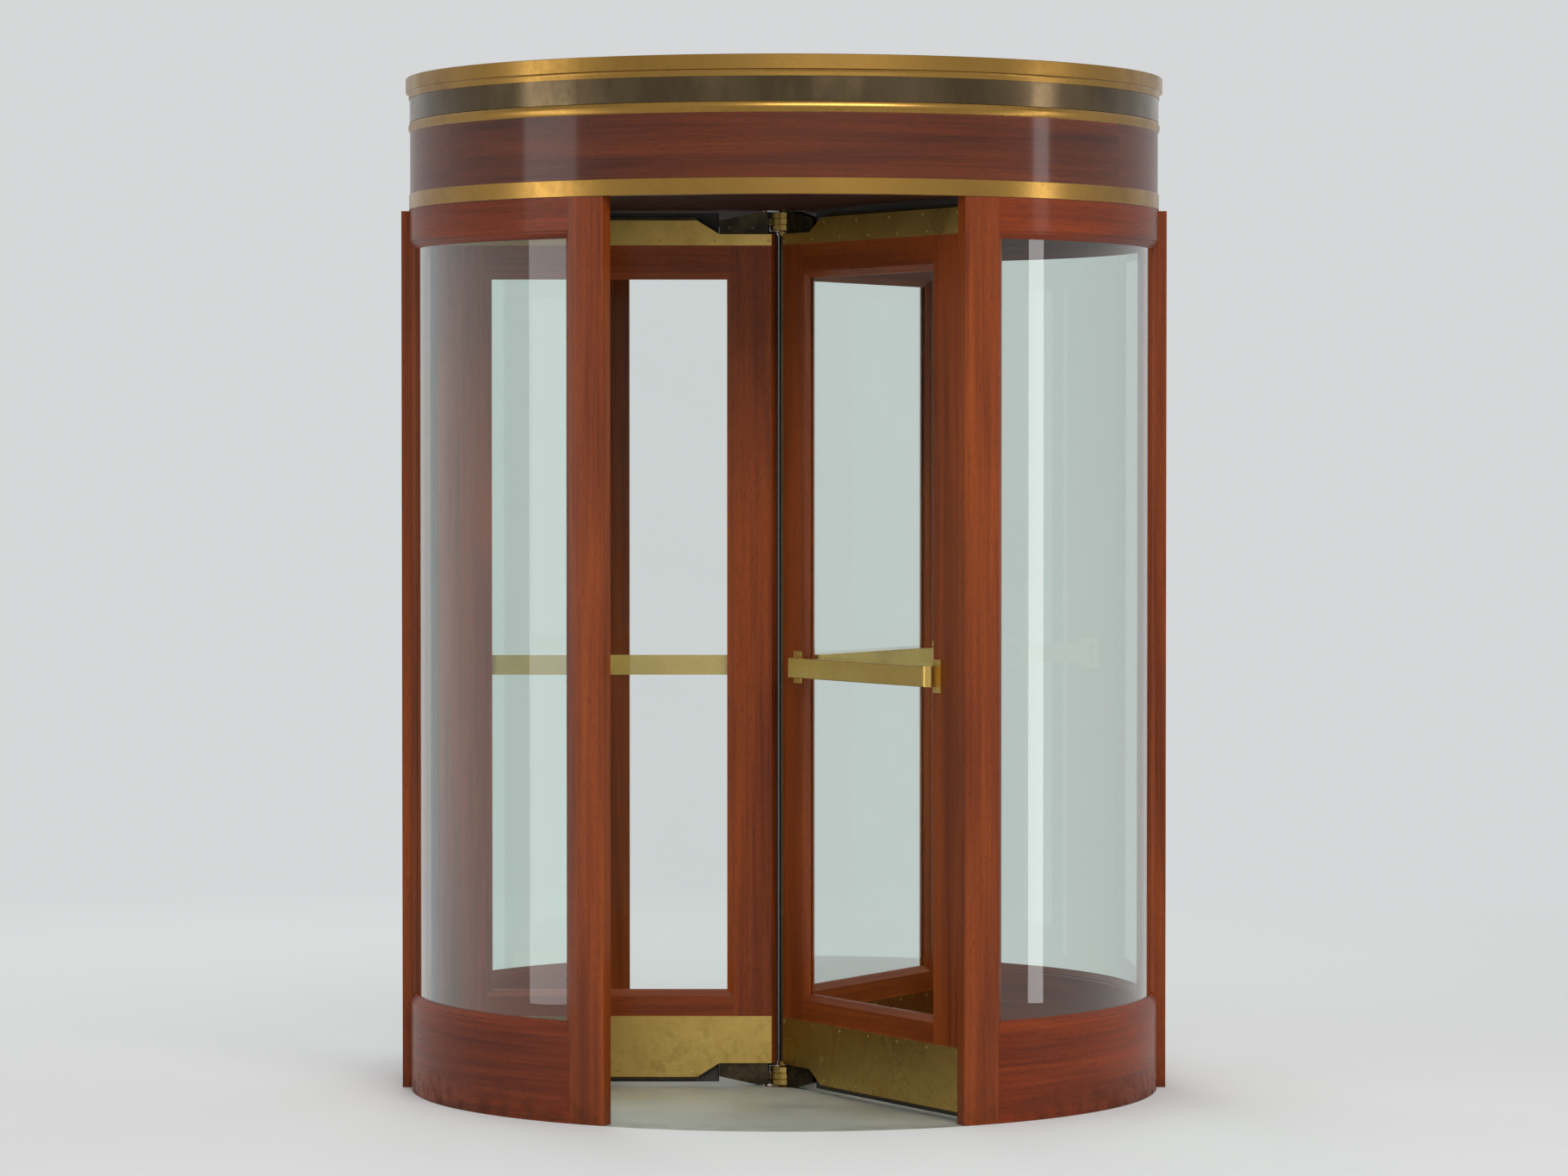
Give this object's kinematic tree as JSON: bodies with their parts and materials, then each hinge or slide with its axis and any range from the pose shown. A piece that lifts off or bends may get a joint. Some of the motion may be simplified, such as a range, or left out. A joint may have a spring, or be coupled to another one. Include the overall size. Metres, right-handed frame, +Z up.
{
  "type": "revolving door",
  "caption": "Manual revolving door: a glazed round drum in varnished wood with brass bands, wings on a central spindle that fold for escape, push bars, kick plates and sweeps.",
  "frame": {"origin": "centre of the underside of the round stone floor, on the spindle's axis", "axes": "+Z up along the spindle, -Y towards the street side doorway, +X to the right seen from the street"},
  "size_m": [2.118, 2.094, 2.8111],
  "materials": {
    "mahogany": "semi-gloss varnish, vertical grain on posts and stiles, grain along the rails",
    "dark_mahogany": "dark satin varnish",
    "brass": "satin brass with a soft brushed grain",
    "bronze": "dark oiled bronze, satin",
    "glass": "clear, very slightly green",
    "stone": "honed grey stone",
    "rubber": "matt black"
  },
  "bodies": {
    "drum": {"floor_disc": "stone", "floor_bearing": "brass", "left_base_rails": "mahogany", "right_base_rails": "mahogany", "left_head_rails": "mahogany", "right_head_rails": "mahogany", "left_front_glass": "glass", "left_back_glass": "glass", "right_front_glass": "glass", "right_back_glass": "glass", "left_front_post": "mahogany", "left_back_post": "mahogany", "right_front_post": "mahogany", "right_back_post": "mahogany", "left_jamb": "mahogany", "right_jamb": "mahogany", "ceiling": "dark_mahogany", "ceiling_bearing": "bronze", "fascia_ring": "mahogany", "brass_bands": "brass", "dark_band": "bronze", "cornice": "brass", "roof_cover": "dark_mahogany"},
    "rotor": {"spindle": "bronze"},
    "wing_1": {"wing_1_stiles": "mahogany", "wing_1_rails": "mahogany", "wing_1_glass": "glass", "wing_1_brass": "brass", "wing_1_push_bar": "brass", "wing_1_hangers": "bronze", "wing_1_sweeps": "rubber"},
    "wing_2": {"wing_2_stiles": "mahogany", "wing_2_rails": "mahogany", "wing_2_glass": "glass", "wing_2_brass": "brass", "wing_2_push_bar": "brass", "wing_2_hangers": "bronze", "wing_2_sweeps": "rubber"},
    "wing_3": {"wing_3_stiles": "mahogany", "wing_3_rails": "mahogany", "wing_3_glass": "glass", "wing_3_brass": "brass", "wing_3_push_bar": "brass", "wing_3_hangers": "bronze", "wing_3_sweeps": "rubber"}
  },
  "joints": [
    {"name": "rotor_spin", "type": "hinge", "parent": "drum", "child": "rotor", "pos_m": [0, 0, 0], "axis": [0, 0, 1], "continuous": true},
    {"name": "wing_1_fold", "type": "hinge", "parent": "rotor", "child": "wing_1", "pos_m": [0, 0, 0], "axis": [0, 0, 1], "range_deg": [0, 45]},
    {"name": "wing_2_fold", "type": "hinge", "parent": "rotor", "child": "wing_2", "pos_m": [0, 0, 0], "axis": [0, 0, 1], "range_deg": [0, 45]},
    {"name": "wing_3_fold", "type": "hinge", "parent": "rotor", "child": "wing_3", "pos_m": [0, 0, 0], "axis": [0, 0, 1], "range_deg": [0, 45]}
  ]
}
